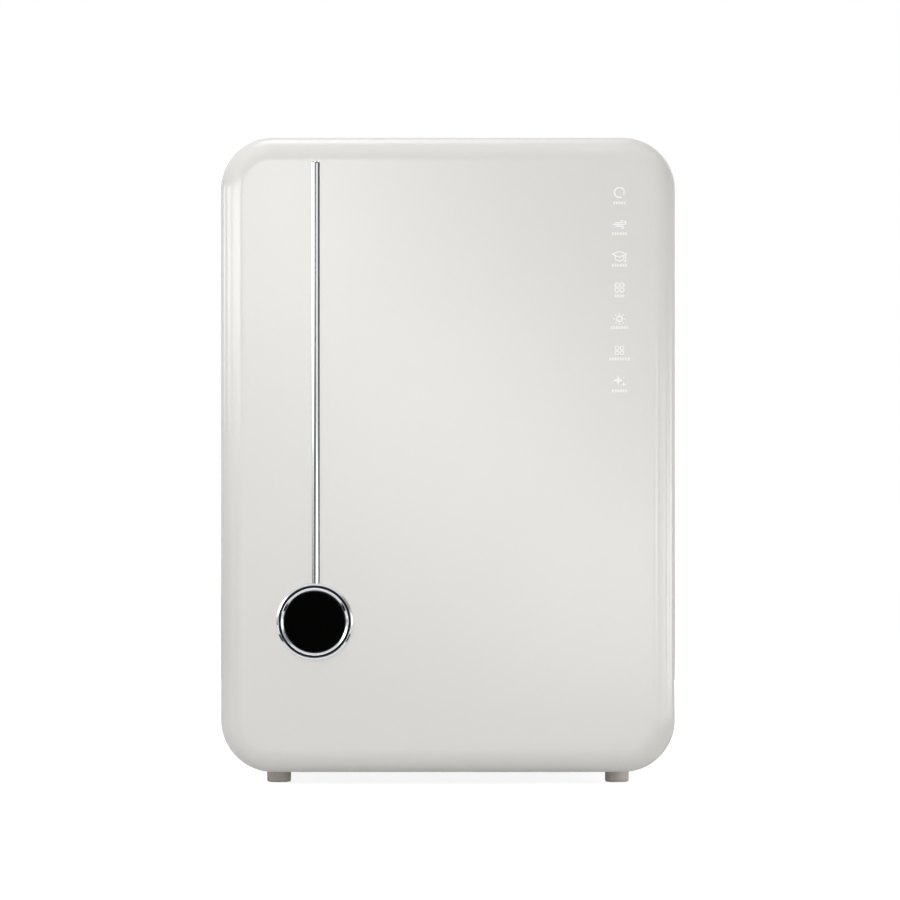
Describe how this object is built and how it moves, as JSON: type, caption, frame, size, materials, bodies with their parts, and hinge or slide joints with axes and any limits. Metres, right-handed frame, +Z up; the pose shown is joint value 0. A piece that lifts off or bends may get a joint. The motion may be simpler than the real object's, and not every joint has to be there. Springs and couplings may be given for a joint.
{
  "type": "baby bottle sterilizer",
  "caption": "Countertop cabinet that sterilises and dries baby bottles with ultraviolet lamps and warm air, with a side-hinged door, push-button catch and slide-out racks.",
  "frame": {"origin": "on the floor, under the middle of the outer box", "axes": "X to the viewer's right, Y from the door to the back, Z up"},
  "size_m": [0.33, 0.345, 0.47],
  "materials": {
    "white_case": "glossy",
    "white_inner": "satin",
    "grey_cover": "fine matt",
    "rubber_foot": "matt",
    "steel_screw": "bright zinc",
    "steel_bracket": "zinc plated",
    "steel_pin": "ground",
    "spring_steel": "drawn wire",
    "mirror_steel": "polished",
    "wire_steel": "electropolished",
    "tray_steel": "satin",
    "trim_chrome": "bright",
    "black_gloss": "piano black",
    "silicone": "soft matt",
    "grey_mechanism": "as moulded",
    "black_mechanism": "as moulded",
    "magnet": "nickel plated",
    "clear_guide": "clear",
    "green_board": "solder mask",
    "white_board": "white solder mask",
    "lamp_housing": "as moulded",
    "heater_fins": "mill",
    "copper_coil": "enamelled",
    "filter_fibre": "fibre mat",
    "pin_brass": "nickel plated"
  },
  "bodies": {
    "cabinet": {"cabinet_shell": "white_case", "front_frame": "white_inner", "rear_cover": "grey_cover", "base_plate": "steel_bracket", "feet": "rubber_foot", "foot_screws": "steel_screw", "wall_spacers": "grey_cover", "rear_cover_screws": "steel_screw", "frame_screws": "steel_screw", "hinge_bracket_upper": "steel_bracket", "hinge_bracket_lower": "steel_bracket", "hinge_pins": "steel_pin", "striker_plate": "steel_bracket", "reed_switch": "black_mechanism", "liner_wrap": "mirror_steel", "liner_back": "mirror_steel", "rack_rail_left": "mirror_steel", "rack_rail_right": "mirror_steel", "top_uv_housing": "lamp_housing", "top_uv_window": "clear_guide", "top_uv_board": "white_board", "rear_uv_housing": "lamp_housing", "rear_uv_window": "clear_guide", "rear_uv_board": "white_board", "air_duct": "lamp_housing", "heater": "heater_fins", "fan_frame": "black_mechanism", "fan_motor": "copper_coil", "exhaust_duct": "lamp_housing", "power_board": "green_board", "main_board": "green_board", "wiring_loom": "black_mechanism", "inlet_socket": "black_mechanism", "inlet_pins": "pin_brass"},
    "door": {"door_outer_shell": "white_case", "door_inner_panel": "white_inner", "door_gasket": "silicone", "door_reflector": "mirror_steel", "door_screws": "steel_screw", "door_magnet": "magnet", "hinge_bushes": "grey_mechanism", "chrome_strip": "trim_chrome", "button_bezel": "trim_chrome", "button_guide": "grey_mechanism", "touch_board": "green_board", "light_guide": "clear_guide", "button_spring": "spring_steel", "latch_spring": "spring_steel"},
    "button": {"button_ring": "trim_chrome", "button_disc": "black_gloss", "button_plunger": "grey_mechanism"},
    "latch": {"latch_slider": "grey_mechanism"},
    "upper_rack": {"upper_rack_floor": "wire_steel", "upper_rack_rim": "wire_steel"},
    "lower_rack": {"lower_rack_floor": "wire_steel", "lower_rack_rim": "wire_steel"},
    "drip_tray": {"drip_tray": "tray_steel"},
    "fan_rotor": {"fan_impeller": "black_mechanism"},
    "filter_cassette": {"filter_frame": "grey_cover", "filter_medium": "filter_fibre"}
  },
  "joints": [
    {"name": "door_hinge", "type": "hinge", "parent": "cabinet", "child": "door", "pos_m": [0.159, -0.132, 0.24], "axis": [0, 0, 1], "range_deg": [0, 100]},
    {"name": "button_push", "type": "slide", "parent": "door", "child": "button", "axis": [0, 1, 0], "range_m": [0, 0.003], "stiffness_N_per_m": 600, "springref_m": -0.004, "deforming": ["button_spring"]},
    {"name": "latch_slide", "type": "slide", "parent": "door", "child": "latch", "axis": [1, 0, 0], "range_m": [0, 0.003], "stiffness_N_per_m": 200, "springref_m": -0.004, "deforming": ["latch_spring"]},
    {"name": "upper_rack_slide", "type": "slide", "parent": "cabinet", "child": "upper_rack", "axis": [0, -1, 0], "range_m": [0, 0.018]},
    {"name": "lower_rack_slide", "type": "slide", "parent": "cabinet", "child": "lower_rack", "axis": [0, -1, 0], "range_m": [0, 0.018]},
    {"name": "drip_tray_slide", "type": "slide", "parent": "cabinet", "child": "drip_tray", "axis": [0, -1, 0], "range_m": [0, 0.018]},
    {"name": "fan_spin", "type": "hinge", "parent": "cabinet", "child": "fan_rotor", "pos_m": [0.07, 0.14, 0.13], "axis": [0, 1, 0], "continuous": true},
    {"name": "filter_slide", "type": "slide", "parent": "cabinet", "child": "filter_cassette", "axis": [0, 1, 0], "range_m": [0, 0.03]}
  ],
  "couplings": [
    {"joint": "latch_slide", "follows": "button_push", "ratio": 1}
  ]
}
